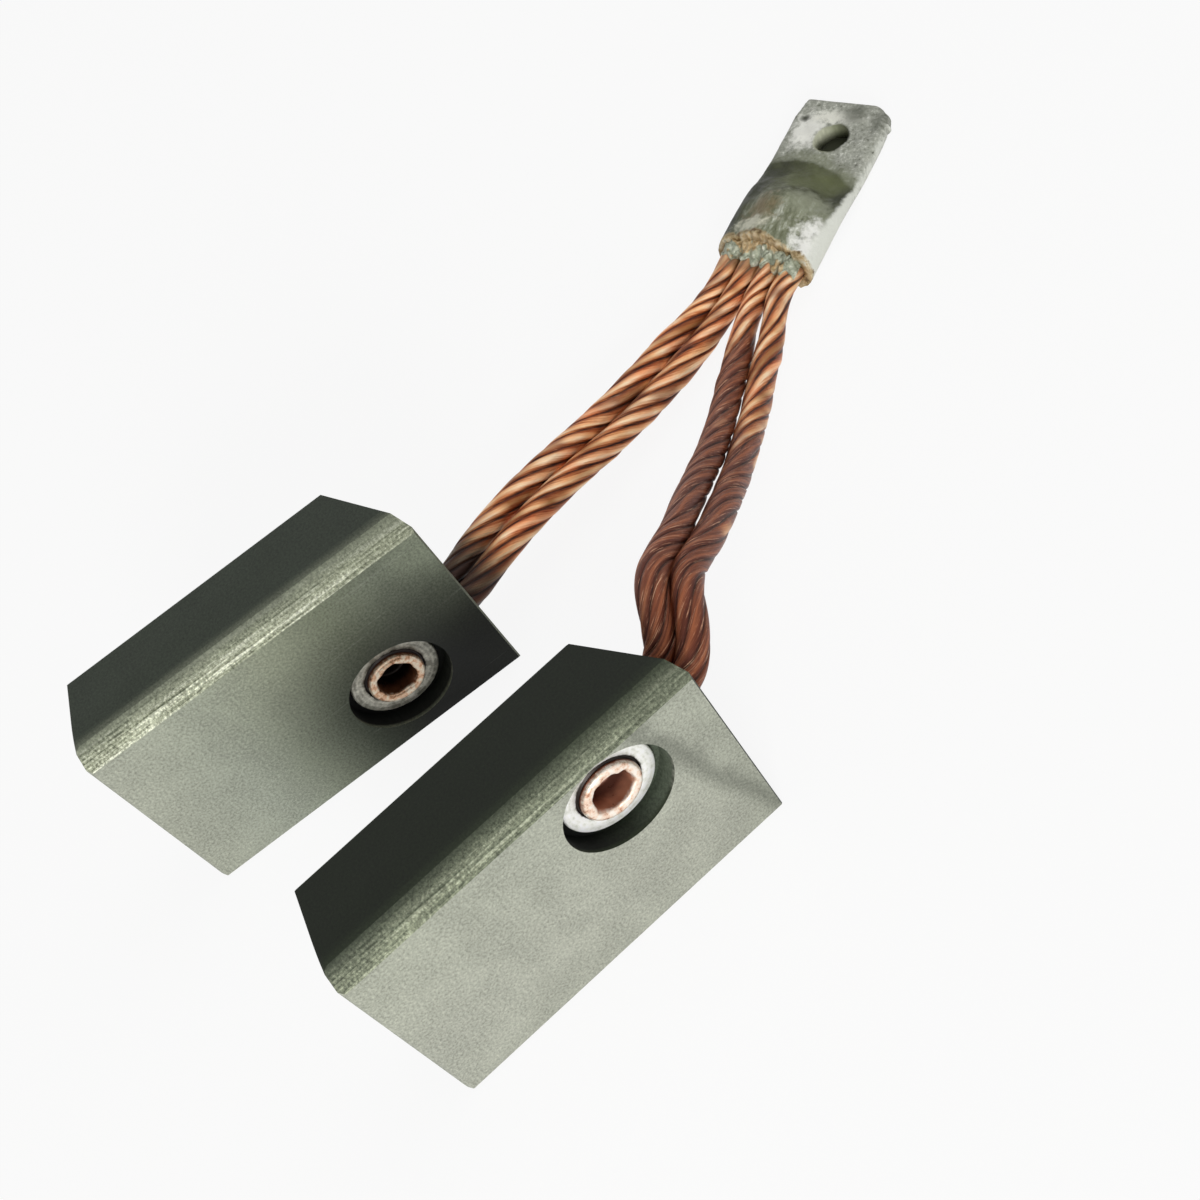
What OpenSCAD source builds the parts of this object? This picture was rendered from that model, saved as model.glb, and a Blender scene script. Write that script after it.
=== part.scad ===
// Split carbon brush: two metal-graphite blocks, each with two copper shunt cables held
// by a half-tubular rivet, all four cables soldered into one flattened tube terminal.
// The blocks stand on a long narrow side and the terminal lies on the same surface.

/* [Carbon blocks] */
// Length of a block on its outer face, from contact end to cable end
block_length = 60; // [50:1:80]
// Width of a block, which stands upright
block_width = 40; // [34:1:60]
// Thickness of one block
block_thickness = 16; // [14:0.5:24]
// Slope of the cable end across the thickness, in degrees
cable_end_bevel = 30; // [10:1:35]
// Slope of the contact end across the thickness, in degrees
contact_bevel = 12; // [0:1:20]
// Height of the ground chamfer on the top outer edge
chamfer_height = 3.4; // [1:0.1:4]
// Depth of that chamfer into the thickness
chamfer_depth = 2.8; // [1:0.1:4]
// Small bevel on the other edges
edge_break = 0.6; // [0.2:0.1:1]
// Radius of the two outer corners at the contact end
corner_round = 1.6; // [0.8:0.1:3]

/* [Rivets and washers] */
// Distance of the rivet from the cable end, on the outer face
rivet_from_end = 17.6; // [15:0.1:22]
// Distance of the rivet from the nearer long side
rivet_from_side = 12; // [11:0.5:15]
// Diameter of the rivet's shank
shank_d = 7.6; // [6:0.1:8]
// Diameter of the hollow in the rivet's front end
hollow_d = 6.4; // [4.5:0.1:6.6]
// Depth of that hollow, from the top of the rolled rim
hollow_depth = 5; // [3:0.5:7]
// Diameter of the rolled rim
rim_d = 9.6; // [9:0.1:11]
// Height of the rolled rim above the front washer
rim_height = 1.3; // [0.8:0.1:1.8]
// Diameter of the rivet's flat rear head
head_d = 11; // [9:0.5:13]
// Thickness of the rear head
head_height = 1.2; // [0.8:0.1:1.5]
// Outer diameter of the washers
washer_d = 15; // [12:0.5:16]
// Thickness of the washers
washer_height = 1; // [0.6:0.1:1.2]
// Diameter of the counterbores that the washers lie in
counterbore_d = 17.5; // [16.5:0.5:19]
// Depth of the counterbore in the outer face
front_depth = 3.6; // [3:0.1:4]
// Depth of the counterbore in the inner face
rear_depth = 2.3; // [2.3:0.1:2.8]

/* [Shunt cables] */
// Diameter of a cable
cable_d = 4.2; // [3:0.1:4.5]
// Web of carbon between a block's two cable sockets
socket_web = 0.2; // [0.1:0.1:0.5]

/* [Terminal] */
// Length of the barrel that grips the cables
barrel_length = 12; // [10:0.5:20]
// Length of the slope between barrel and palm
slope_length = 12.5; // [5:0.5:16]
// Length of the flat palm
palm_length = 15.5; // [14:0.5:24]
// Width of the palm
palm_width = 20; // [16:0.5:21]
// Wall of the tube that the terminal is pressed from
tube_wall = 1.6; // [1:0.1:2]
// Rise of the barrel's roof above a plain flattened tube
roof_rise = 2.4; // [1.5:0.1:3]
// Diameter of the bolt hole
hole_d = 6.5; // [5.2:0.1:8.5]
// Distance of the bolt hole from the palm's tip
hole_from_tip = 9.7; // [7:0.1:11]
// Size of the clipped corner of the palm
corner_clip = 3.5; // [1:0.5:5]

/* [Clearances] */
// Radial clearance of the rivet in the block and in the washers
rivet_clear = 0.15; // [0.05:0.05:0.3]
// Radial clearance of a cable in its socket and in the barrel
cable_clear = 0.1; // [0.05:0.05:0.3]
// Gap between neighbouring cables in the barrel
row_gap = 0.1; // [0.05:0.05:0.3]
// Gap between the solder and what it fills
solder_gap = 0.05; // [0.02:0.01:0.1]

/* [Hidden] */
$fn = 64;
left = 0;
right = 1;
inner = 0;
outer = 1;

// Where each piece stands: x, y and turn about Z. A block's origin is the outer contact
// corner, and the terminal's is the middle of its mouth.
block_at = [[-3, -87, -3.4], [57.5, -71, 3.4]];
lug_at = [-31, 48, 29];

// The blocks are a handed pair: the left rivet is near the bottom side and the right one
// near the top, so they line up once the right block is turned over and the inner faces meet.
rivet_y = block_length - rivet_from_end;
function rivet_z(side) = side == left ? rivet_from_side : block_width - rivet_from_side;

// A block's two cable sockets run side by side between the counterbores, up to the rivet
function socket_x(layer) = -(front_depth + block_thickness - rear_depth) / 2
                           + (layer == outer ? 1 : -1) * (socket_d + socket_web) / 2;
socket_d = cable_d + 2 * cable_clear;
cable_start = rivet_y + shank_d / 2 + rivet_clear;
function cable_exit(layer) = block_length + socket_x(layer) * tan(cable_end_bevel);

// The four cables lie side by side on the barrel's floor
row_pitch = cable_d + row_gap;
row_reach = 1.5 * row_pitch;
cavity_r = cable_d / 2 + cable_clear;
barrel_r = cavity_r + tube_wall;
cavity_depth = barrel_length - tube_wall;
cable_hold = cavity_depth - 1;
lead_in = 7;
palm_height = 2 * tube_wall;
lug_length = barrel_length + slope_length + palm_length;

// The stretch of each cable that lies free, from its socket to the terminal
cable_sides = 10;
free_route = [
    [[[-11.6, -28, 12.4], [-13.6, -22, 12.8], [-15.8, -16, 12.4], [-17.8, -9.8, 11.6],
      [-19.6, -3.4, 10.4], [-21.3, 3, 9.2], [-23.2, 9.4, 7.8], [-25.4, 15.8, 6.6],
      [-27.7, 22, 5.4], [-29.9, 28, 4.5], [-31.6, 33.8, 3.9]],
     [[-6.9, -25.4, 12], [-9.1, -19.6, 11.8], [-11.5, -13.6, 11], [-13.6, -7.4, 10],
      [-15.5, -1, 8.8], [-17.3, 5.4, 7.4], [-19.2, 11.8, 6.1], [-21.3, 18, 4.9],
      [-23.5, 24.2, 4], [-25.7, 30.2, 3.4], [-27.6, 35.8, 3.5]]],
    [[[43, -14.8, 28.5], [41.8, -11.6, 30.4], [39, -9.4, 32.5], [35.2, -7.2, 33.4],
      [31.2, -4.2, 32.2], [27, 0, 29.5], [21.6, 4.1, 26], [15.8, 8.3, 22], [9.6, 13, 17.8],
      [3.4, 17.7, 14], [-3.1, 22.4, 10.6], [-9, 27, 8.2], [-14.8, 31.8, 6.2],
      [-20.5, 36.7, 4.7]],
     [[47.2, -12.2, 28.4], [45.7, -9.2, 29.6], [43.1, -6.8, 30.9], [39.2, -4.5, 31.6],
      [34.7, -1.8, 30.5], [30.4, 2.3, 27.6], [25.5, 6.4, 24], [19.9, 10.8, 20.2],
      [13.8, 15.2, 16], [7.6, 19.7, 12.4], [1.5, 24.5, 9.4], [-4.6, 29.3, 7],
      [-10.4, 34.1, 5.3], [-15.8, 39.2, 4.2]]]];

// A point given in a placed piece's own frame, in the frame of the whole
function placed(at, p) = [at[0] + p[0] * cos(at[2]) - p[1] * sin(at[2]),
                          at[1] + p[0] * sin(at[2]) + p[1] * cos(at[2]), p[2]];
function unit(v) = v / norm(v);

// Place of a cable in the terminal's row, counted from the row's middle
function row_place(side, layer) = row_pitch * ((side == left ? -1 : 1)
                                               + (layer == inner ? -1 : 1) / 2);

function cable_route(side, layer) =
    let (x = row_place(side, layer))
    concat([for (y = [cable_start, cable_exit(layer)])
               placed(block_at[side], [socket_x(layer), y, rivet_z(side)])],
           free_route[side][layer],
           [for (y = [-lead_in, 0, cable_hold]) placed(lug_at, [x, y, tube_wall + cavity_r])]);

// Direction of a route at its point i
function heading(route, i) = unit(route[min(i + 1, len(route) - 1)] - route[max(i - 1, 0)]);

// One ring of a cable's tube, square to the route
function ring(route, i) =
    let (along = heading(route, i),
         across = unit(cross(along, [0, 0, 1])),
         rise = cross(across, along))
    [for (k = [0:cable_sides - 1])
        let (a = 360 * k / cable_sides)
        route[i] + cable_d / 2 * (across * cos(a) + rise * sin(a))];

module tube(route) {
    rings = len(route);
    n = cable_sides;
    sides = [for (i = [0:rings - 2], k = [0:n - 1])
        let (a = i * n + k, b = i * n + (k + 1) % n)
        each [[a, a + n, b], [b, a + n, b + n]]];
    polyhedron(points = [for (i = [0:rings - 1]) each ring(route, i)],
               faces = concat(sides, [[for (k = [0:n - 1]) k]],
                              [[for (k = [n - 1:-1:0]) (rings - 1) * n + k]]));
}

module at(place) {
    translate([place[0], place[1], 0]) rotate([0, 0, place[2]]) children();
}

// Puts a turned piece's axis on the rivet's line, its base on the outer face, going inwards
module on_rivet_line(side) {
    at(block_at[side]) translate([0, rivet_y, rivet_z(side)]) rotate([0, -90, 0]) children();
}

// Outline of a block seen from above, both ends sloping back from the outer face
module block_plan() {
    inner_start = block_thickness * tan(contact_bevel);
    inner_end = block_length - block_thickness * tan(cable_end_bevel);
    polygon([[-edge_break, 0], [0, edge_break], [0, block_length - edge_break],
             [-edge_break, block_length - edge_break * tan(cable_end_bevel)],
             [-block_thickness, inner_end], [-block_thickness, inner_start]]);
}

// Section of a block across its length, with the ground chamfer at the top outer edge
module block_section() {
    e = edge_break;
    polygon([[-e, 0], [0, e], [0, block_width - chamfer_height], [-chamfer_depth, block_width],
             [e - block_thickness, block_width], [-block_thickness, block_width - e],
             [-block_thickness, e], [e - block_thickness, 0]]);
}

// Outline of a block's outer face, rounded at the two contact corners
module block_side() {
    r = corner_round;
    translate([r, 0]) square([block_length - r, block_width]);
    translate([0, r]) square([2 * r, block_width - 2 * r]);
    for (z = [r, block_width - r]) translate([r, z]) circle(r);
}

module carbon_block(side) {
    color([0.27, 0.30, 0.27])
    difference() {
        at(block_at[side]) intersection() {
            linear_extrude(block_width) block_plan();
            translate([0, block_length, 0]) rotate([90, 0, 0])
                linear_extrude(block_length) block_section();
            translate([-block_thickness, 0, 0]) rotate([90, 0, 90])
                linear_extrude(block_thickness) block_side();
        }
        on_rivet_line(side) {
            translate([0, 0, -1]) cylinder(d = counterbore_d, h = front_depth + 1);
            cylinder(d = shank_d + 2 * rivet_clear, h = block_thickness);
            translate([0, 0, block_thickness - rear_depth])
                cylinder(d = counterbore_d, h = rear_depth + 1);
        }
        at(block_at[side]) for (layer = [inner, outer])
            translate([socket_x(layer), rivet_y, rivet_z(side)])
                rotate([-90, 0, 0]) cylinder(d = socket_d, h = rivet_from_end);
    }
}

// Half-tubular rivet: rolled rim on the front washer, solid shank, flat rear head
module rivet(side) {
    rim_top = front_depth - washer_height - rim_height;
    rim_w = (rim_d - hollow_d) / 4;
    shank_top = rim_top + min(rim_w, rim_height);
    rear_face = block_thickness - rear_depth + washer_height;
    color([0.80, 0.47, 0.32])
    on_rivet_line(side) rotate_extrude() difference() {
        union() {
            translate([0, shank_top]) square([shank_d / 2, rear_face - shank_top]);
            intersection() {
                translate([hollow_d / 2, rim_top]) square([2 * rim_w, rim_height]);
                translate([hollow_d / 2 + rim_w, rim_top + rim_w]) union() {
                    circle(rim_w);
                    translate([-rim_w, 0]) square([2 * rim_w, rim_height]);
                }
            }
            translate([0, rear_face]) square([head_d / 2, head_height]);
        }
        translate([-1, rim_top - 1]) square([hollow_d / 2 + 1, hollow_depth + 1]);
    }
}

module washer(side, depth) {
    color([0.74, 0.76, 0.73])
    on_rivet_line(side) translate([0, 0, depth]) difference() {
        cylinder(d = washer_d, h = washer_height);
        translate([0, 0, -1])
            cylinder(d = shank_d + 4 * rivet_clear, h = washer_height + 2);
    }
}

module front_washer(side) washer(side, front_depth - washer_height);

module rear_washer(side) washer(side, block_thickness - rear_depth);

module shunt_cable(side, layer) {
    color([0.74, 0.43, 0.27]) tube(cable_route(side, layer));
}

// Height of the barrel's roof above a plain flattened tube, at a place across it
function roof_lift(x) = roof_rise * cos(90 * x / row_reach);

// Section of the barrel or its cavity: flat floor, round sides, arched roof
module oval_section(r, floor) {
    steps = 12;
    polygon(concat(
        [for (i = [0:steps]) let (a = 180 * i / steps - 90)
            [row_reach + r * cos(a), floor + r + r * sin(a)]],
        [for (i = [1:2 * steps - 1]) let (x = row_reach * (1 - i / steps))
            [x, floor + 2 * r + roof_lift(x)]],
        [for (i = [0:steps]) let (a = 180 * i / steps + 90)
            [-row_reach + r * cos(a), floor + r + r * sin(a)]]));
}

// Runs a section along the terminal from y to y + length
module along_lug(y, length) {
    translate([0, y + length, 0]) rotate([90, 0, 0]) linear_extrude(length) children();
}

module terminal_lug() {
    slab = 0.1;
    palm_y = barrel_length + slope_length;
    color([0.62, 0.64, 0.58])
    at(lug_at) difference() {
        union() {
            along_lug(0, barrel_length) oval_section(barrel_r, 0);
            hull() {
                along_lug(barrel_length - slab, slab) oval_section(barrel_r, 0);
                along_lug(palm_y, slab)
                    translate([-palm_width / 2, 0]) square([palm_width, palm_height]);
            }
            linear_extrude(palm_height)
                polygon([[-palm_width / 2, palm_y], [palm_width / 2, palm_y],
                         [palm_width / 2, lug_length - corner_clip],
                         [palm_width / 2 - corner_clip, lug_length],
                         [edge_break - palm_width / 2, lug_length],
                         [-palm_width / 2, lug_length - edge_break]]);
        }
        along_lug(-1, cavity_depth + 1) oval_section(cavity_r, tube_wall);
        translate([0, lug_length - hole_from_tip, -1]) cylinder(d = hole_d, h = palm_height + 2);
    }
}

// Solder over the row of cables, under the barrel's roof
module lug_solder() {
    floor = tube_wall + cavity_r + cable_d / 2 + solder_gap;
    roof = tube_wall + 2 * cavity_r - solder_gap;
    reach = 0.75 * row_reach;
    steps = 16;
    color([0.80, 0.82, 0.77])
    at(lug_at) along_lug(0, cable_hold)
        polygon(concat([[-reach, floor], [reach, floor]],
                       [for (i = [0:steps]) let (x = reach * (1 - 2 * i / steps))
                           [x, roof + roof_lift(x)]]));
}

carbon_block(left);  // carbon_block_left
carbon_block(right);  // carbon_block_right
rivet(left);  // rivet_left
rivet(right);  // rivet_right
front_washer(left);  // front_washer_left
front_washer(right);  // front_washer_right
rear_washer(left);  // rear_washer_left
rear_washer(right);  // rear_washer_right
shunt_cable(left, inner);  // shunt_cable_left_inner
shunt_cable(left, outer);  // shunt_cable_left_outer
shunt_cable(right, inner);  // shunt_cable_right_inner
shunt_cable(right, outer);  // shunt_cable_right_outer
terminal_lug();
lug_solder();
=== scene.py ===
import bmesh
import bpy
import numpy as np
from mathutils import Matrix


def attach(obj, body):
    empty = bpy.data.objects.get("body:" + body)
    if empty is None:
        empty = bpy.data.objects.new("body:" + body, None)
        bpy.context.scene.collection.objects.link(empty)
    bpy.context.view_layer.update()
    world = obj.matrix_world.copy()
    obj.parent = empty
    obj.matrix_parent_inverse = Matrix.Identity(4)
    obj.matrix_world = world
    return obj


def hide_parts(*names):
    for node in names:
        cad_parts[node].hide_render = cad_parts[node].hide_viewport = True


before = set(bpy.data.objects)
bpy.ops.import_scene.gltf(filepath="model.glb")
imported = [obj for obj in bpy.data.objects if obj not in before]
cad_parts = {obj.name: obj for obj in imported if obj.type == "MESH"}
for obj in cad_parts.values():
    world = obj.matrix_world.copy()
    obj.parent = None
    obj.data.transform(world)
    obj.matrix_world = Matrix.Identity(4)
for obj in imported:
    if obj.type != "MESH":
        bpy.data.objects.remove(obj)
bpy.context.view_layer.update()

# Camera: a 54 mm lens on a 36 mm square frame, about 0.3 m from the brush, looking down
# on it at 49 degrees from the side that the blocks' outer faces look to.
camera = bpy.data.objects.new("camera", bpy.data.cameras.new("camera"))
camera.data.lens, camera.data.sensor_width, camera.data.clip_start = 54, 36, 0.01
right = (0.49958, 0.77121, -0.39454)
down = (0.56308, -0.63520, -0.52864)
ahead = (-0.65830, 0.04194, -0.75159)
camera.matrix_world = (Matrix.Translation((0.1937, -0.0240, 0.2193))
                       @ Matrix((right, [-v for v in down], [-v for v in ahead]))
                       .transposed().to_4x4())
bpy.context.scene.collection.objects.link(camera)
bpy.context.scene.camera = camera

# Shunt cables: four ropes of bare copper, each of six bunches of fine wire laid up
# right-handed. Two are tamped into each block and all four are soldered into the terminal.
MM = 0.001
CABLE_D = 4.2
STRANDS = 6
LAY_LENGTH = 34.0
GROOVE = 0.17
LOOSE = 0.14
IN_TERMINAL = 9.4
# How far from each block the ropes are painted near black as shadow.
PAINTED_SHADOW_UNTIL = {"left": 18, "right": 3}
BRIGHT_FROM = {"right_inner": 84, "right_outer": 58}
cable_routes = {
    "left_inner": [
        (-11.2, -40.1, 12), (-10.7, -32.8, 12), (-11.6, -28, 12.4), (-13.6, -22, 12.8),
        (-15.8, -16, 12.4), (-17.8, -9.8, 11.6), (-19.6, -3.4, 10.4), (-21.3, 3, 9.2),
        (-23.2, 9.4, 7.8), (-25.4, 15.8, 6.6), (-27.7, 22, 5.4), (-29.9, 28, 4.5),
        (-31.6, 33.8, 3.9), (-33.2, 38.8, 3.8), (-36.6, 44.9, 3.8), (-41.2, 53.1, 3.8)],
    "left_outer": [
        (-6.6, -40.4, 12), (-6, -30.4, 12), (-6.9, -25.4, 12), (-9.1, -19.6, 11.8),
        (-11.5, -13.6, 11), (-13.6, -7.4, 10), (-15.5, -1, 8.8), (-17.3, 5.4, 7.4),
        (-19.2, 11.8, 6.1), (-21.3, 18, 4.9), (-23.5, 24.2, 4), (-25.7, 30.2, 3.4),
        (-27.6, 35.8, 3.5), (-29.5, 40.8, 3.8), (-32.9, 47, 3.8), (-37.4, 55.2, 3.8)],
    "right_inner": [
        (43.8, -25.4, 28), (43.4, -18.1, 28), (43, -14.8, 28.5), (41.8, -11.6, 30.4),
        (39, -9.4, 32.5), (35.2, -7.2, 33.4), (31.2, -4.2, 32.2), (27, 0, 29.5),
        (21.6, 4.1, 26), (15.8, 8.3, 22), (9.6, 13, 17.8), (3.4, 17.7, 14),
        (-3.1, 22.4, 10.6), (-9, 27, 8.2), (-14.8, 31.8, 6.2), (-20.5, 36.7, 4.7),
        (-25.7, 42.9, 3.8), (-29.1, 49, 3.8), (-33.7, 57.3, 3.8)],
    "right_outer": [
        (48.4, -25.1, 28), (47.8, -15.1, 28), (47.2, -12.2, 28.4), (45.7, -9.2, 29.6),
        (43.1, -6.8, 30.9), (39.2, -4.5, 31.6), (34.7, -1.8, 30.5), (30.4, 2.3, 27.6),
        (25.5, 6.4, 24), (19.9, 10.8, 20.2), (13.8, 15.2, 16), (7.6, 19.7, 12.4),
        (1.5, 24.5, 9.4), (-4.6, 29.3, 7), (-10.4, 34.1, 5.3), (-15.8, 39.2, 4.2),
        (-22, 45, 3.8), (-25.4, 51.1, 3.8), (-29.9, 59.3, 3.8)]}


def linear(code):
    """An sRGB hex colour as linear red, green, blue and alpha."""
    c = np.array([int(code[i:i + 2], 16) for i in (1, 3, 5)]) / 255
    return (*np.where(c <= 0.04045, c / 12.92, ((c + 0.055) / 1.055) ** 2.4), 1.0)


def add(material, kind, inputs={}, ramp=(), **settings):
    """Adds one shader node, sets it up and returns it. An input is a number, a hex colour,
    or a node or socket that is linked to it, and ramp holds a colour ramp's stops."""
    tree = material.node_tree
    node = tree.nodes.new("ShaderNode" + kind)
    for name, value in settings.items():
        setattr(node, name, value)
    for i, (at, colour) in enumerate(ramp):
        stop = node.color_ramp.elements[i] if i < 2 else node.color_ramp.elements.new(at)
        stop.position, stop.color = at, linear(colour)
    for name, value in inputs.items():
        if isinstance(value, bpy.types.Node):
            value = next(socket for socket in value.outputs if socket.enabled)
        if isinstance(value, bpy.types.NodeSocket):
            tree.links.new(value, node.inputs[name])
        else:
            node.inputs[name].default_value = linear(value) if isinstance(value, str) else value
    return node


def new_material(name):
    """An empty node material."""
    material = bpy.data.materials.new(name)
    material.use_nodes = True
    material.node_tree.nodes.clear()
    return material


def smooth_line(points, step):
    """A natural cubic spline in chord length through the points, sampled every step."""
    p = np.array(points, float)
    s = np.r_[0, np.cumsum(np.linalg.norm(np.diff(p, axis=0), axis=1))]
    h = np.diff(s)
    n = len(p)
    a = np.eye(n)
    b = np.zeros((n, 3))
    i = np.arange(1, n - 1)
    a[i, i - 1], a[i, i], a[i, i + 1] = h[:-1], 2 * (h[:-1] + h[1:]), h[1:]
    b[1:-1] = 6 * np.diff(np.diff(p, axis=0) / h[:, None], axis=0)
    m = np.linalg.solve(a, b)
    t = np.linspace(0, s[-1], int(np.ceil(s[-1] / step)) + 1)
    k = np.clip(np.searchsorted(s, t, side="right") - 1, 0, n - 2)
    u, v, g = (s[k + 1] - t)[:, None], (t - s[k])[:, None], h[k][:, None]
    return ((m[k] * u ** 3 + m[k + 1] * v ** 3) / (6 * g)
            + (p[k] / g - m[k] * g / 6) * u + (p[k + 1] / g - m[k + 1] * g / 6) * v)


def ease(v):
    """The smooth step 3v^2 - 2v^3 from 0 to 1."""
    v = np.clip(v, 0, 1)
    return v * v * (3 - 2 * v)


def wobble(t, seed, low=1.0, high=4.0, terms=6):
    """A smooth random curve of about unit height: a few sines of seeded rate and phase."""
    r = np.random.default_rng(seed)
    rate, phase = r.uniform(low, high, terms), r.uniform(0, 2 * np.pi, terms)
    return np.sin(np.multiply.outer(t, rate) + phase).sum(-1) / np.sqrt(terms)


def grid_mesh(name, points, material, uv=None, ring=False):
    """A closed mesh from a grid of points in millimetres whose rows are rings. The last row
    joins the first if ring is true, or else a face covers each end. uv gives the columns'
    and the rows' coordinates."""
    rows, n = points.shape[:2]
    i, j = (v.ravel() for v in np.meshgrid(np.arange(rows - (not ring)), np.arange(n),
                                           indexing="ij"))
    k, m = (j + 1) % n, (i + 1) % rows
    faces = np.stack([i * n + j, i * n + k, m * n + k, m * n + j], 1).tolist()
    if not ring:
        faces += [list(range(n))[::-1], list(range((rows - 1) * n, rows * n))]
    mesh = bpy.data.meshes.new(name)
    mesh.from_pydata((points.reshape(-1, 3) * MM).tolist(), [], faces)
    if uv is not None:
        u, v = uv
        corners = np.stack([u[j], v[i], u[j + 1], v[i], u[j + 1], v[i + 1], u[j], v[i + 1]], 1)
        every = np.zeros(2 * len(mesh.loops), np.float32)
        every[:corners.size] = corners.ravel()
        mesh.uv_layers.new(name="lay").data.foreach_set("uv", every)
    mesh.polygons.foreach_set("use_smooth", np.ones(len(mesh.polygons), bool))
    mesh.materials.append(material)
    piece = bpy.data.objects.new(name, mesh)
    bpy.context.scene.collection.objects.link(piece)
    return piece


def rope_surface(line, seed):
    """Six bunches wound about a line. At an angle d from a bunch's middle the outline lies
    between that of round bunches, c cos d + sqrt(r^2 - c^2 sin^2 d), and a circle with a
    narrow groove. It turns once in a lay length, and opens out where nothing grips it."""
    per = 12
    s = np.r_[0, np.cumsum(np.linalg.norm(np.diff(line, axis=0), axis=1))]
    along = np.gradient(line, axis=0)
    along /= np.linalg.norm(along, axis=1)[:, None]
    across = np.cross(along, (0, 0, 1))
    across /= np.linalg.norm(across, axis=1)[:, None]
    rise = np.cross(across, along)
    half = np.pi / STRANDS
    r = CABLE_D / 2 * np.sin(half) / (1 + np.sin(half))
    c = CABLE_D / 2 - r
    psi = np.arange(STRANDS * per) * 2 * half / per
    d = psi % (2 * half) - half
    bunches = c * np.cos(d) + np.sqrt(np.maximum(r ** 2 - (c * np.sin(d)) ** 2, 0))
    outline = 0.08 * bunches + 0.92 * (CABLE_D / 2 - GROOVE * np.abs(d / half) ** 5)
    crown = np.cos(d * STRANDS / 2) ** 2
    proud = np.stack([wobble(s / 7, seed * 10 + i) for i in range(STRANDS)], 1)
    creep = np.stack([wobble(s / 9, seed * 10 + 50 + i) for i in range(STRANDS)], 1)
    open_out = 1 + LOOSE * ease((s - 6) / 7) * ease((s[-1] - 21 - s) / 12)
    swell = open_out[:, None] + 0.035 * np.repeat(proud, per, 1) * crown
    turn = (psi[None, :] - 2 * np.pi * (s / LAY_LENGTH)[:, None]
            + 0.22 * wobble(s / 10, seed * 10 + 9)[:, None]
            + 0.16 * np.repeat(creep, per, 1) * crown)
    out = (outline * swell)[..., None]
    points = (line[:, None] + out * (across[:, None] * np.cos(turn)[..., None]
                                     + rise[:, None] * np.sin(turn)[..., None]))
    return points, (np.arange(STRANDS * per + 1) / per, s)


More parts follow.
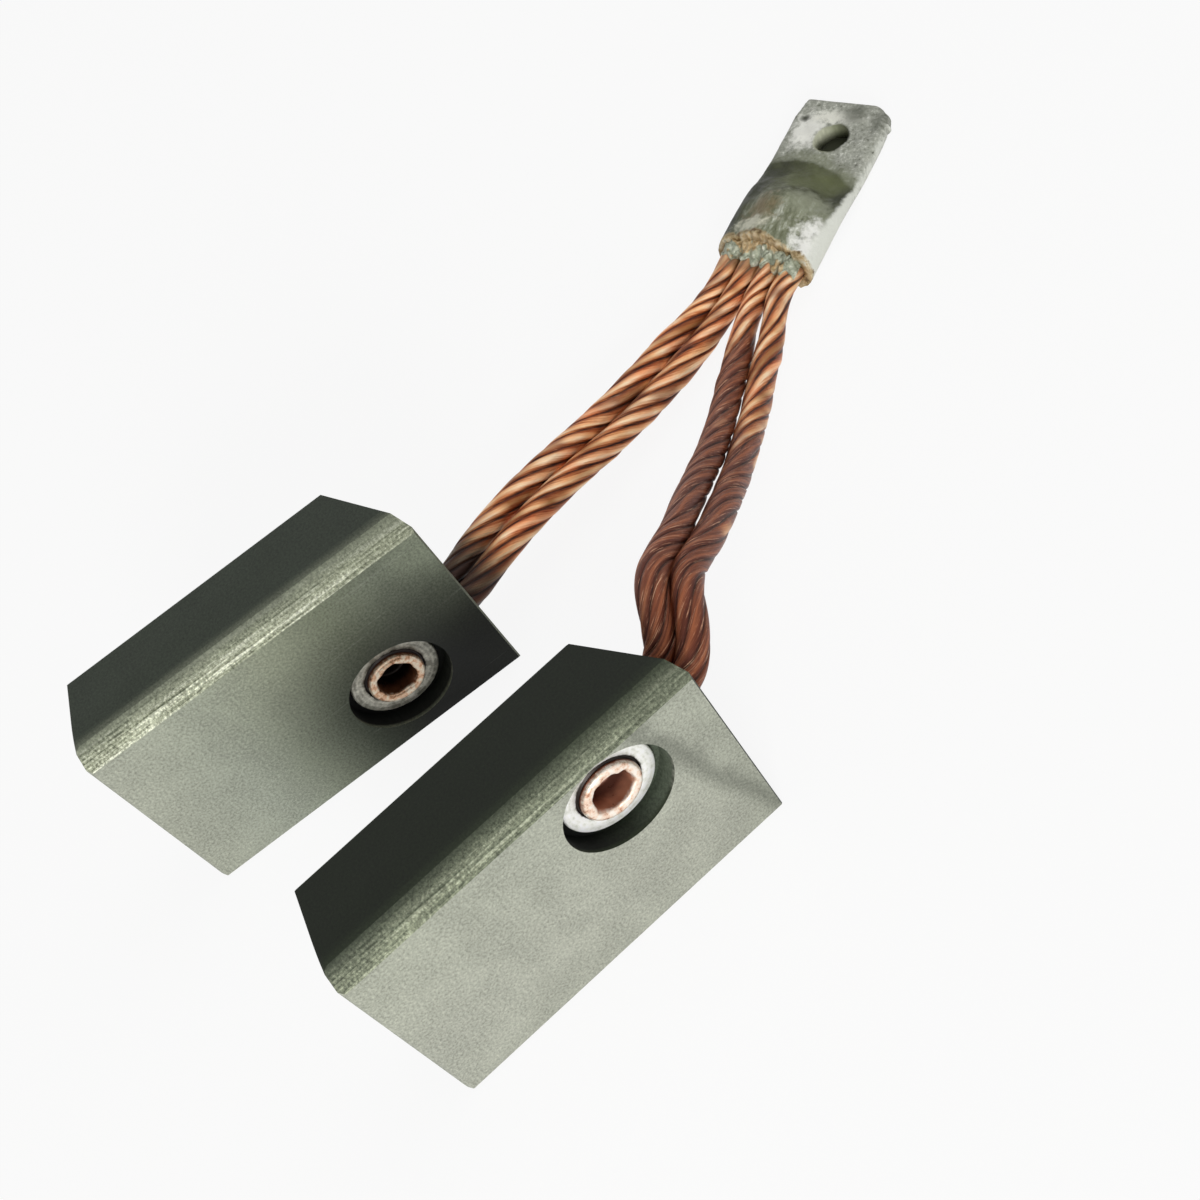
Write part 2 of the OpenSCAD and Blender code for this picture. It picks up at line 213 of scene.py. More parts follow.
def copper_rope(name, mouth_at, dark_until, bright_from, seed):
    """Bare annealed copper wire, 0.1 mm thick and drawn here at twice that to show. Across each
    bunch, light and shade are painted: a pale peach highlight on its crown, brown down its flank,
    and near black shade in the groove."""
    material = new_material(name)
    split = add(material, "SeparateXYZ", {0: add(material, "UVMap", uv_map="lay")})
    u, v = split.outputs[0], split.outputs[1]
    # Each wire crosses its bunch in about 20 mm, so its streak drifts over as it runs.
    wires = add(material, "CombineXYZ", {
        0: add(material, "Math", {0: v, 1: 0.05, 2: u}, operation="MULTIPLY_ADD"),
        1: add(material, "Math", {0: v, 1: 0.014}, operation="MULTIPLY"), 2: seed})
    streak = add(material, "TexNoise", {"Vector": wires, "Scale": 11.0, "Detail": 4.0,
                                        "Roughness": 0.75})
    bunch = add(material, "CombineXYZ", {
        0: add(material, "Math", {0: add(material, "Math", {0: u}, operation="FLOOR"), 1: 3.7},
               operation="MULTIPLY"),
        1: add(material, "Math", {0: v, 1: 0.08}, operation="MULTIPLY"), 2: seed})
    patch = add(material, "TexNoise", {"Vector": bunch, "Scale": 1.0, "Detail": 2.0})
    hue = add(material, "TexNoise", {"Vector": bunch, "Scale": 1.15, "Detail": 2.0})
    shift = add(material, "Math", {0: streak, 1: 0.56, 2: -0.11}, operation="MULTIPLY_ADD")
    place = add(material, "Math", {
        0: add(material, "Math", {0: u}, operation="FRACT"), 1: 0.78, 2: shift},
        operation="MULTIPLY_ADD")
    # Bright and tarnished copper, each painted across its bunch with shade in the groove and a
    # highlight on the crown.
    polished_with_painted_light = add(material, "ValToRGB", {0: place}, ramp=(
        (0.14, "#160804"), (0.21, "#713919"), (0.31, "#cf8654"), (0.48, "#ffe9c4"),
        (0.64, "#f6c190"), (0.80, "#ad6236"), (0.92, "#240e06")))
    tarnished_with_painted_light = add(material, "ValToRGB", {0: place}, ramp=(
        (0.12, "#170905"), (0.20, "#4c2113"), (0.36, "#63301d"), (0.52, "#9c5b3a"),
        (0.64, "#64331f"), (0.78, "#81462c"), (0.96, "#1f0d07")))
    # Painted glints: pale spots on the tarnished copper where the streaks are brightest.
    painted_glint = add(material, "MapRange", {0: streak, 1: 0.58, 2: 0.66, 3: 0, 4: 0.85})
    tarnished_with_painted_light = add(material, "Mix", {0: painted_glint, 6: tarnished_with_painted_light, 7: "#e9b48f"}, data_type="RGBA")
    tint = add(material, "ValToRGB", {0: hue}, ramp=(
        (0.34, "#a98562"), (0.45, "#f6e0ca"), (0.54, "#ffffff"), (0.66, "#ffd9c6")))
    polished_with_painted_light = add(material, "Mix", {0: 1.0, 6: polished_with_painted_light, 7: tint}, data_type="RGBA",
                   blend_type="MULTIPLY")
    age = add(material, "MapRange", {0: v, 1: bright_from, 2: bright_from + 22, 3: 0.30, 4: -0.04},
              interpolation_type="SMOOTHSTEP")
    aged = add(material, "MapRange", {
        0: add(material, "Math", {0: patch, 1: age}, operation="ADD"), 1: 0.50, 2: 0.68},
        interpolation_type="SMOOTHSTEP")
    colour = add(material, "Mix", {0: aged, 6: polished_with_painted_light, 7: tarnished_with_painted_light}, data_type="RGBA")
    # Tin has run a little way out of the terminal along the crowns.
    tinned = add(material, "MapRange", {
        0: add(material, "Math", {0: streak, 1: 9.0, 2: v}, operation="MULTIPLY_ADD"),
        1: mouth_at - 1, 2: mouth_at + 7, 3: 0, 4: 0.6}, interpolation_type="SMOOTHSTEP")
    colour = add(material, "Mix", {0: tinned, 6: colour, 7: "#d3b894"}, data_type="RGBA")
    # A painted shadow blackens the copper where it comes out of the block.
    painted_shadow = add(material, "MapRange", {
        0: add(material, "Math", {0: streak, 1: 10.0, 2: v}, operation="MULTIPLY_ADD"),
        1: dark_until + 11, 2: dark_until + 3, 3: 0, 4: 0.9}, interpolation_type="SMOOTHSTEP")
    colour = add(material, "Mix", {0: painted_shadow, 6: colour, 7: "#160c08"}, data_type="RGBA")
    bump = add(material, "Bump", {"Height": streak, "Strength": 0.6, "Distance": 0.0003})
    shader = add(material, "BsdfPrincipled", {
        "Base Color": colour, "Metallic": 0.6, "Normal": bump,
        "Roughness": add(material, "MapRange", {0: streak, 1: 0.3, 2: 0.7, 3: 0.5, 4: 0.3})})
    add(material, "OutputMaterial", {0: shader})
    return material


for number, (side, route) in enumerate(cable_routes.items()):
    line = smooth_line(route, 0.3)
    length = np.linalg.norm(np.diff(line, axis=0), axis=1).sum()
    copper = copper_rope("bare_copper_rope_" + side, length - IN_TERMINAL,
                         PAINTED_SHADOW_UNTIL[side.split("_")[0]], BRIGHT_FROM.get(side, 0),
                         3.0 * number + 1)
    points, lay = rope_surface(line, number + 1)
    rope = grid_mesh("rope_" + side, points, copper, lay)
    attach(rope, "root")
    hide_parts("shunt_cable_" + side)

# Terminal: a copper tube, hot-dip tinned, its mouth part gripped over the four cables and
# its other end pressed flat to a palm of two plies with a bolt hole. The sawn mouth is bare.
LUG_AT = (-31.0, 48.0, 29.0)
LUG_LENGTH, MOUTH_HALF, PALM_HALF = 40.0, 10.25, 10.0
PLY, ROOF, MOUTH_TOP = 1.6, 2.4, 7.6
BOLT_HOLE_Y, BOLT_HOLE_R = 30.3, 3.25


def in_place(points, at):
    """Points in a piece's own frame, turned about Z and moved to where the piece stands."""
    a = np.radians(at[2])
    x, y, z = np.moveaxis(points, -1, 0)
    return np.stack([at[0] + x * np.cos(a) - y * np.sin(a),
                     at[1] + x * np.sin(a) + y * np.cos(a), z], -1)


def flat_loop(left, right, base, top, rise):
    """Closed sections, one a row: a flat base, half-round sides, and a top that rises as
    sin(pi w) across its width w. The angle a runs round each side."""
    q = np.linspace(0, 1, 24, endpoint=False)[None]
    a = np.linspace(-90, 90, 14, endpoint=False)[None] * np.pi / 180
    w = np.linspace(0, 1, 60, endpoint=False)[None]
    l, r, b, t, e = (np.asarray(v, float)[:, None] for v in (left, right, base, top, rise))
    k = (t - b) / 2
    x = np.concatenate([l + k + (r - l - 2 * k) * q, r - k + k * np.cos(a),
                        r - k - (r - l - 2 * k) * w, l + k - k * np.cos(a)], 1)
    z = np.concatenate([b + 0 * q, b + k + k * np.sin(a),
                        t + e * np.sin(np.pi * w), b + k - k * np.sin(a)], 1)
    return x, z


def mouth(x, z):
    """How far the sawn mouth lies behind the square one: it slopes back up and leftward,
    with a ripple from the saw."""
    return 0.19 * z - 0.18 * x + 0.16 * wobble(x * 1.4, 21)


def lug_skin():
    """The tube from its tip to its mouth, then back along the bore. Its roof comes down from
    the grip to the palm by the smooth step of (25 - y) / 15, bent to an arch across the
    tube, with a thumb-sized hollow in it. The tip is askew and one corner is clipped."""
    y = np.r_[LUG_LENGTH, LUG_LENGTH - 0.15, np.arange(LUG_LENGTH - 0.4, 0.9, -0.3),
              0.5, 0.2, 0.05, 0.0]
    up = ease((25 - y) / 15)
    half = PALM_HALF + (MOUTH_HALF - PALM_HALF) * up
    top = 2 * PLY + (MOUTH_TOP - 2 * PLY) * up
    soft = np.interp(y, [0, 0.05, 0.2, 0.5, 39, 39.85, 40], [0.13, 0.05, 0.01, 0, 0, 0.12, 0.35])
    clip = np.clip((y - (LUG_LENGTH - 4.6)) / 4.6, 0, 1)
    clip = 4.2 * (1 - np.sqrt(1 - 0.9 * clip ** 2)) + 0.6 * clip
    ragged = 0.22 * wobble(y * 2.2, 3) * ease((y - 33) / 3)
    x, z = flat_loop(-half + soft + 0.2 * ease((y - 34) / 6),
                     half - clip - soft + ragged - 0.3 * ease((y - 30) / 6),
                     soft, top - soft, ROOF * up ** 1.3)
    yy = np.broadcast_to(y[:, None], x.shape)
    high = np.clip((z - top[:, None] / 2) / (top[:, None] / 2), 0, 1)
    bent = ease((24.6 - 0.035 * (x + 4) ** 2 - yy) / 14.5)
    z = z + high * (4.4 * (bent - up[:, None]) * (1 - (x / 12) ** 4))
    z = z - high * 0.8 * np.exp(-((x - 3) / 4.5) ** 2 - ((yy - 18.8) / 2.8) ** 2)
    dents = (0.11 * wobble(x * 0.5 + yy * 0.21, 11) + 0.08 * wobble(yy * 0.5 - x * 0.2, 12)
             + 0.04 * wobble(yy * 1.5 + x * 1.1, 13))
    z = z + high * dents * np.clip(np.minimum(yy, 40 - yy), 0, 1)
    lean = (0.10 + 0.16 * ease(-x / 5)) * (z - 3.8)
    x = x + lean * up[:, None] - 0.45 * (1 - up)[:, None] * ease((39 - yy) / 4)
    z = np.minimum(z, 9.95)
    outer = np.stack([x, yy + np.clip(1 - yy / 9, 0, 1) * mouth(x, z)
                      - 0.075 * (x + 10) * ease((yy - 31) / 9), z], -1)
    y = np.r_[0.0, 0.3, np.arange(1, 10.4, 0.8)]
    one = np.ones(len(y))
    x, z = flat_loop(-8.65 * one, 8.65 * one, PLY * one, 6.0 * one, (ROOF - 0.3) * one)
    x = x + (0.10 + 0.10 * ease(-x / 5)) * (z - 3.8)
    yy = np.broadcast_to(y[:, None], x.shape)
    inner = np.stack([x, yy + np.clip(1 - yy / 9, 0, 1) * mouth(x, z), z], -1)
    return np.concatenate([outer, inner])


# Hot-dip tin: grey-white and mottled on the palm with dark flux specks, smooth and olive where the
# tool pressed the slope, streaked over the grip; copper shows at the sawn mouth. The slope's dark
# olive is partly painted shade.
tin = new_material("hot_dip_tinned_copper")
local = add(tin, "Mapping", {
    "Vector": add(tin, "TexCoord").outputs["Object"],
    "Location": (LUG_AT[0] * MM, LUG_AT[1] * MM, 0),
    "Rotation": (0, 0, np.radians(LUG_AT[2]))}, vector_type="TEXTURE")
across, along, height = add(tin, "SeparateXYZ", {0: local}).outputs
fine = add(tin, "TexNoise", {"Vector": local, "Scale": 1300.0, "Detail": 5.0,
                             "Roughness": 0.7})
mottle = add(tin, "TexNoise", {"Vector": local, "Scale": 620.0, "Detail": 5.0,
                               "Roughness": 0.65})
cloud = add(tin, "TexNoise", {"Vector": local, "Scale": 210.0, "Detail": 4.0,
                              "Roughness": 0.6})
run = add(tin, "Mapping", {"Vector": local, "Scale": (1, 0.3, 1)})
streaks = add(tin, "TexNoise", {"Vector": run, "Scale": 700.0, "Detail": 4.0,
                                "Roughness": 0.7})
palm = add(tin, "ValToRGB", {0: fine}, ramp=(
    (0.31, "#4d5043"), (0.39, "#9fa194"), (0.56, "#bdbfb3"), (0.68, "#eeefe4")))
palm = add(tin, "Mix", {0: add(tin, "MapRange", {0: mottle, 1: 0.50, 2: 0.66, 3: 0, 4: 0.45},
                               interpolation_type="SMOOTHSTEP"),
                        6: palm, 7: "#85887a"}, data_type="RGBA")
# Dark olive of the slope, partly painted shade.
slope = add(tin, "ValToRGB", {0: cloud}, ramp=(
    (0.35, "#3b3e29"), (0.5, "#4e5237"), (0.62, "#5f6445"), (0.75, "#72775a")))
grip = add(tin, "ValToRGB", {0: streaks}, ramp=(
    (0.34, "#464a32"), (0.45, "#7a7e63"), (0.55, "#9da18a"), (0.66, "#e2e5d5")))
grip = add(tin, "Mix", {0: add(tin, "MapRange", {0: cloud, 1: 0.42, 2: 0.60, 3: 0, 4: 0.5},
                               interpolation_type="SMOOTHSTEP"),
                        6: grip, 7: "#6f735c"}, data_type="RGBA")
colour = add(tin, "Mix", {
    0: add(tin, "MapRange", {0: add(tin, "Math", {0: mottle, 1: 0.006, 2: along},
                                    operation="MULTIPLY_ADD"), 1: 0.0175, 2: 0.0095},
           interpolation_type="SMOOTHSTEP"), 6: slope, 7: grip}, data_type="RGBA")
# The crease between slope and palm is an arch: a line of constant y + 35 (x + 0.004)^2.
arch = add(tin, "Math", {0: add(tin, "Math", {0: add(tin, "Math", {0: across, 1: 0.004},
                                                     operation="ADD"), 1: 2.0},
                                operation="POWER"), 1: 35.0, 2: along},
           operation="MULTIPLY_ADD")
crease = add(tin, "Math", {0: mottle, 1: 0.002, 2: arch}, operation="MULTIPLY_ADD")
palm = add(tin, "Mix", {0: add(tin, "MapRange", {0: add(tin, "Math", {
    0: cloud, 1: 0.006, 2: arch}, operation="MULTIPLY_ADD"), 1: 0.0315, 2: 0.0285, 3: 0, 4: 0.6},
    interpolation_type="SMOOTHSTEP"), 6: palm, 7: "#80856a"}, data_type="RGBA")
colour = add(tin, "Mix", {0: add(tin, "MapRange", {0: crease, 1: 0.0250, 2: 0.0262},
                                 interpolation_type="SMOOTHSTEP"), 6: colour, 7: palm},
             data_type="RGBA")
# Spots of their own, each an ellipse with a ragged edge: centre, half sizes, how ragged, colour
# and strength. A paler thumb hollow, its dark surround painted as shade on the tube's flanks, tan
# flux over the cables, cream tin by the bolt hole, a dark line to the tip, and a white run beside
# the mouth.
for centre, sizes, rag, tone, strength in (
        # Painted shade: dark patches on the tube's flanks round the thumb hollow.
        ((-8.8, 17, 5), (4.5, 7.0, 9), 0.8, "#25281a", 0.9),
        ((-10, 7, 6), (4.2, 9, 9), 0.8, "#1f2116", 0.95),
        ((8.6, 15.5, 5), (2.2, 4.6, 6), 0.8, "#2b2f20", 0.8),
        ((3.0, 18.8, 4), (5.6, 3.4, 9), 0.5, "#6f7550", 0.75),
        ((5.5, 11, 8), (5.0, 3.5, 5), 1.6, "#a2a68f", 0.7),
        ((-1.8, 7.2, 9), (3.2, 4.0, 5), 3.0, "#8f7a58", 0.6),
        ((-2.5, 4.6, 9), (3.5, 1.6, 5), 3.4, "#f2f1dc", 0.85),
        ((-5.6, 32.0, 3), (3.2, 4.4, 3), 2.6, "#fffff6", 1.0),
        ((-1.6, 35.4, 3), (5.0, 1.6, 3), 2.6, "#fffff2", 0.95),
        ((-7.4, 35.0, 3), (0.9, 0.8, 3), 2.0, "#34372a", 0.9),
        ((2.2, 36.4, 3), (2.6, 2.2, 3), 1.8, "#64675a", 0.75),
        ((7.6, 35.0, 2), (1.4, 3.0, 3), 2.0, "#53564a", 0.65),
        ((8.6, 2.6, 6), (3.0, 5.0, 5), 2.8, "#fffff8", 1.0)):
    spot = add(tin, "VectorMath", {0: add(tin, "Mapping", {
        "Vector": local, "Location": tuple(v * MM for v in centre),
        "Scale": tuple(v * MM for v in sizes)}, vector_type="TEXTURE")}, operation="LENGTH")
    edge = add(tin, "Math", {0: mottle, 1: rag, 2: spot.outputs["Value"]},
               operation="MULTIPLY_ADD")
    colour = add(tin, "Mix", {0: add(tin, "MapRange", {
        0: edge, 1: 1.45 + rag / 2, 2: 0.35 + rag / 2, 3: 0, 4: strength},
        interpolation_type="SMOOTHSTEP"), 6: colour, 7: tone}, data_type="RGBA")
# The right flank is painted near white as a highlight, and the wall of the bolt hole is painted
# light and shade, pale on its left and dark on its right.
colour = add(tin, "Mix", {0: add(tin, "MapRange", {0: add(tin, "Math", {
    0: mottle, 1: 0.0016, 2: across}, operation="MULTIPLY_ADD"), 1: 0.0097, 2: 0.0106},
    interpolation_type="SMOOTHSTEP"), 6: colour, 7: "#eef0e6"}, data_type="RGBA")
hole = add(tin, "VectorMath", {0: add(tin, "Mapping", {
    "Vector": local, "Location": (0, BOLT_HOLE_Y * MM, 0), "Scale": (1, 1, 1e6)},
    vector_type="TEXTURE")}, operation="LENGTH")
# Painted light and shade on the bolt hole's wall: pale on its left side, dark on its right.
wall = add(tin, "ValToRGB", {0: add(tin, "Math", {0: across, 1: 130.0, 2: 0.5},
                                    operation="MULTIPLY_ADD")}, ramp=(
    (0.05, "#cfd1b9"), (0.40, "#969a7f"), (0.70, "#5a5d48"), (0.95, "#2c2e22")))
colour = add(tin, "Mix", {0: add(tin, "MapRange", {
    0: hole.outputs["Value"], 1: (BOLT_HOLE_R + 0.4) * MM, 2: (BOLT_HOLE_R + 0.05) * MM}),
    6: colour, 7: wall}, data_type="RGBA")
# Bare copper shows in a ragged band behind the mouth, whose plane is y = 0.19 z - 0.18 x.
lip = add(tin, "Math", {0: height, 1: -0.19, 2: along}, operation="MULTIPLY_ADD")
lip = add(tin, "Math", {0: across, 1: 0.18, 2: lip}, operation="MULTIPLY_ADD")
lip = add(tin, "Math", {0: mottle, 1: 0.0030, 2: lip}, operation="MULTIPLY_ADD")
copper = add(tin, "ValToRGB", {0: mottle}, ramp=(
    (0.36, "#6f5a38"), (0.45, "#b09b74"), (0.55, "#cdbc98"), (0.68, "#ece1c6")))
colour = add(tin, "Mix", {0: add(tin, "MapRange", {0: lip, 1: 0.0024, 2: 0.0018}),
                          6: colour, 7: copper}, data_type="RGBA")
bump = add(tin, "Bump", {"Height": add(tin, "Math", {0: fine, 1: mottle}, operation="ADD"),
                         "Strength": 0.5, "Distance": 0.0002})
add(tin, "OutputMaterial", {0: add(tin, "BsdfPrincipled", {
    "Base Color": colour, "Metallic": 0.1, "Specular IOR Level": 0.25, "Normal": bump,
    "Roughness": add(tin, "MapRange", {0: mottle, 1: 0.35, 2: 0.65, 3: 0.45, 4: 0.65})})})
lug = grid_mesh("terminal", in_place(lug_skin()[::-1], LUG_AT), tin)

# The bolt hole is drilled through both plies of the palm.
turn = np.linspace(0, 2 * np.pi, 64, endpoint=False)
drill = np.stack([np.stack([BOLT_HOLE_R * np.cos(turn), BOLT_HOLE_Y + BOLT_HOLE_R * np.sin(turn),
                            0 * turn + h], -1) for h in (-1, 5)])
cutter = grid_mesh("drill", in_place(drill, LUG_AT), tin)
bore = lug.modifiers.new("bolt_hole", "BOOLEAN")
bore.operation, bore.object, bore.solver = "DIFFERENCE", cutter, "EXACT"
drilled = bpy.data.meshes.new_from_object(
    lug.evaluated_get(bpy.context.evaluated_depsgraph_get()))
lug.modifiers.clear()
lug.data = drilled
bpy.data.objects.remove(cutter)
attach(lug, "root")
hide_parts("terminal_lug")

# Solder: run in over the cables while the terminal was hot. It fills the arch above them
# and stands out of the mouth in a rough lip that clings to each cable.
ROW_PITCH = 4.3


def solder_skin():
    """Rings across the mouth, each a closed loop in y and z: from deep in the grip along
    its roof, down over the lip by the smooth step, and back under through the cables, whose
    crowns the lip follows as cos(2 pi x / pitch). Seeded ripples make it lumpy."""
    x = np.linspace(-8.2, 8.2, 76)[:, None]
    roof = 6.0 + 1.9 * np.cos(np.pi * x / 17.3)
    crown = 6.05 - 0.25 * np.cos(2 * np.pi * x / ROW_PITCH)
    lip = mouth(x, 5.0) - 2.3 - 0.45 * wobble(x * 0.8, 41) - 0.6 * ease((x - 1) / 5)
    t = np.linspace(0, 1, 72, endpoint=False)[None]
    down = ease((t - 0.25) / 0.40)
    y = np.interp(t, [0, 0.25, 0.68, 0.75, 1], [0, 1, 2, 2, 3])
    deep, inside = 8.0, mouth(x, 8.0) + 0.7
    y = np.where(y <= 1, deep + (inside - deep) * y,
                 np.where(y <= 2, inside + (lip - inside) * (y - 1), lip + (deep - lip) * (y - 2)))
    z = roof + (crown - roof) * down
    z = z - (z - 4.6) * ease((t - 0.66) / 0.08)
    lumps = 0.22 * wobble(x * 1.1 + y * 0.9, 42) + 0.16 * wobble(x * 2.3 - y * 1.7, 43)
    z = z + lumps * ease((t - 0.2) / 0.1) * (1 - ease((t - 0.62) / 0.1))
    ends = np.sqrt(np.clip(1 - (x / 8.25) ** 8, 0.02, 1))
    z = 5.0 + (z - 5.0) * ends
    return np.stack([x + 0 * z, y, z], -1)


# Tin-lead solder: dull greenish grey with frosted crests, and tan under the terminal's roof,
# where flux has caked on it.
solder = new_material("tin_lead_solder")
place = add(solder, "TexCoord").outputs["Object"]
lumps = add(solder, "TexNoise", {"Vector": place, "Scale": 900.0, "Detail": 5.0,
                                 "Roughness": 0.7})
flux = add(solder, "TexNoise", {"Vector": place, "Scale": 330.0, "Detail": 3.0})
frosted = add(solder, "ValToRGB", {0: lumps}, ramp=(
    (0.34, "#6f7460"), (0.45, "#9aa08a"), (0.57, "#b9bfa9"), (0.70, "#eef0e2")))
crust = add(solder, "ValToRGB", {0: lumps}, ramp=(
    (0.34, "#6b5430"), (0.47, "#b79b6d"), (0.58, "#d2ba8e"), (0.72, "#f0e2c0")))
height = add(solder, "SeparateXYZ", {0: place}).outputs[2]
caked = add(solder, "Math", {0: flux, 1: 0.010, 2: height}, operation="MULTIPLY_ADD")
colour = add(solder, "Mix", {0: add(solder, "MapRange", {0: caked, 1: 0.0113, 2: 0.0121},
                                    interpolation_type="SMOOTHSTEP"),
                             6: frosted, 7: crust}, data_type="RGBA")
add(solder, "OutputMaterial", {0: add(solder, "BsdfPrincipled", {
    "Base Color": colour, "Metallic": 0.15, "Roughness": 0.45,
    "Normal": add(solder, "Bump", {"Height": lumps, "Strength": 0.8, "Distance": 0.0004})})})
fill = grid_mesh("solder_fill", in_place(solder_skin(), LUG_AT)[::-1], solder)
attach(fill, "root")
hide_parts("lug_solder")

# Carbon blocks: pressed and baked metal-graphite. The outer faces are ground and painted pale, the
# other sides, all but the worn contact face, are painted near black as shade, and a ground chamfer
# runs along the top edge.
BLOCK_AT = {"left": (-3.0, -87.0, -3.4), "right": (57.5, -71.0, 3.4)}
RIVET_Y = 42.4
RIVET_Z = {"left": 12.0, "right": 28.0}
COUNTERBORE_R = 8.75
BLOCK_LENGTH, BLOCK_HEIGHT, EDGE_WEAR = 60.0, 40.0, 0.4


def metal_graphite(side, upper, lower, strip, strip_end, shaded_top, shaded_top_edge, pit_shade, cable_shadow_strength):
    """Metal-graphite: an even grain of about 0.4 mm, drawn out lengthwise by the grinding of the
    chamfer. The outer face goes through two rows of tones from contact end to cable end, one along
    its upper edge and one along its lower edge. strip and strip_end colour the chamfer, shaded_top
    and shaded_top_edge the top and the other sides in painted shade, pit_shade the counterbore in
    painted shade, and cable_shadow_strength sets how dark a painted shadow of a cable lies on the
    outer face."""
    at = BLOCK_AT[side]
    block = new_material("metal_graphite_" + side)
    local = add(block, "Mapping", {
        "Vector": add(block, "TexCoord").outputs["Object"],
        "Location": (at[0] * MM, at[1] * MM, 0), "Rotation": (0, 0, np.radians(at[2]))},
        vector_type="TEXTURE")
    facing = add(block, "Mapping", {
        "Vector": add(block, "NewGeometry").outputs["Normal"],
        "Rotation": (0, 0, np.radians(at[2]))}, vector_type="TEXTURE")
    out, ahead, up = add(block, "SeparateXYZ", {0: facing}).outputs
    depth, along, height = add(block, "SeparateXYZ", {0: local}).outputs
    grain = add(block, "TexNoise", {"Vector": local, "Scale": 2300.0, "Detail": 2.0,
                                    "Roughness": 0.8})
    cloud = add(block, "TexNoise", {"Vector": local, "Scale": 140.0, "Detail": 4.0,
                                    "Roughness": 0.6})
    drawn = add(block, "Mapping", {"Vector": local, "Scale": (1, 0.02, 1)})
    scratch = add(block, "TexNoise", {"Vector": drawn, "Scale": 2300.0, "Detail": 4.0,
                                      "Roughness": 0.7})
    ground = add(block, "Math", {
        0: grain, 1: 0.28, 2: add(block, "Math", {0: scratch, 1: 0.72},
                                  operation="MULTIPLY")}, operation="MULTIPLY_ADD")
    length = add(block, "Math", {0: add(block, "Math", {0: cloud, 1: 0.006, 2: along},
                                        operation="MULTIPLY_ADD"),
                                  1: 1 / (BLOCK_LENGTH * MM), 2: -0.05},
                 operation="MULTIPLY_ADD")
    face = add(block, "Mix", {
        0: add(block, "MapRange", {0: height, 1: 0.009, 2: BLOCK_HEIGHT * MM},
               interpolation_type="SMOOTHSTEP"),
        6: add(block, "ValToRGB", {0: length}, ramp=lower),
        7: add(block, "ValToRGB", {0: length}, ramp=upper)}, data_type="RGBA")
    # Fine scratches from handling cross the outer face aslant.
    aslant = add(block, "Mapping", {"Vector": local, "Rotation": (0.6, 0, 0),
                                    "Scale": (1, 0.035, 1)})
    nick = add(block, "TexNoise", {"Vector": aslant, "Scale": 1300.0, "Detail": 2.0})
    face = add(block, "Mix", {
        0: add(block, "MapRange", {0: nick, 1: 0.66, 2: 0.74, 3: 0, 4: 0.10}),
        6: face, 7: "#d4d6ca"}, data_type="RGBA")
    # A faint painted shadow of a cable slants down beside the cable end: along + 0.3 height = 60
    # mm.
    painted_cable_shadow = add(block, "Math", {0: height, 1: 0.3, 2: add(block, "Math", {
        0: cloud, 1: 0.004, 2: along}, operation="MULTIPLY_ADD")}, operation="MULTIPLY_ADD")
    off = add(block, "Math", {0: add(block, "Math", {0: painted_cable_shadow, 1: -0.062}, operation="ADD")},
              operation="ABSOLUTE")
    painted_cable_shadow = add(block, "MapRange", {0: off, 1: 0.0028, 2: 0.0, 3: 0.0, 4: cable_shadow_strength},
                 interpolation_type="SMOOTHSTEP")
    face = add(block, "Mix", {0: painted_cable_shadow, 6: face, 7: "#74776c"}, data_type="RGBA")
    band = add(block, "ValToRGB", {0: ground}, ramp=strip)
    band = add(block, "Mix", {0: add(block, "MapRange", {0: along, 1: 0.018, 2: 0.058, 3: 0,
                                                         4: 0.55}),
                              6: band, 7: strip_end}, data_type="RGBA")
    # The chamfer's upper side runs out into the painted shade of the top without a line.
    band = add(block, "Mix", {0: add(block, "MapRange", {0: add(block, "Math", {
        0: scratch, 1: 0.002, 2: height}, operation="MULTIPLY_ADD"), 1: 0.0384, 2: 0.0412, 3: 0,
        4: 0.95}, interpolation_type="SMOOTHSTEP"), 6: band, 7: shaded_top_edge}, data_type="RGBA")
    # Painted shade: the top and the other sides are dark, a little lighter just behind the outer
    # face.
    top = add(block, "Mix", {0: add(block, "MapRange", {0: add(block, "Math", {
        0: scratch, 1: 0.0014, 2: depth}, operation="MULTIPLY_ADD"), 1: -0.0042, 2: -0.0014},
        interpolation_type="SMOOTHSTEP"), 6: shaded_top, 7: shaded_top_edge}, data_type="RGBA")
    # The contact face has run in against a commutator: smoother, with lines across it.
    track = add(block, "Mapping", {"Vector": local, "Scale": (0.03, 1, 1)})
    worn = add(block, "ValToRGB", {0: add(block, "TexNoise", {
        "Vector": track, "Scale": 1500.0, "Detail": 3.0})}, ramp=(
        (0.38, "#4d5048"), (0.5, "#63665c"), (0.64, "#83867a")))
    rest = add(block, "Mix", {0: add(block, "MapRange", {0: ahead, 1: -0.6, 2: -0.85}),
                              6: top, 7: worn}, data_type="RGBA")
    # Faces that look outward take the face tones, the rest the painted shade or the worn contact
    # face.
    colour = add(block, "Mix", {0: add(block, "MapRange", {0: out, 1: 0.5, 2: 0.7}),
                                6: rest, 7: face}, data_type="RGBA")
    slant = add(block, "Math", {0: out, 1: up}, operation="MINIMUM")
    colour = add(block, "Mix", {0: add(block, "MapRange", {0: slant, 1: 0.25, 2: 0.45}),
                                6: colour, 7: band}, data_type="RGBA")
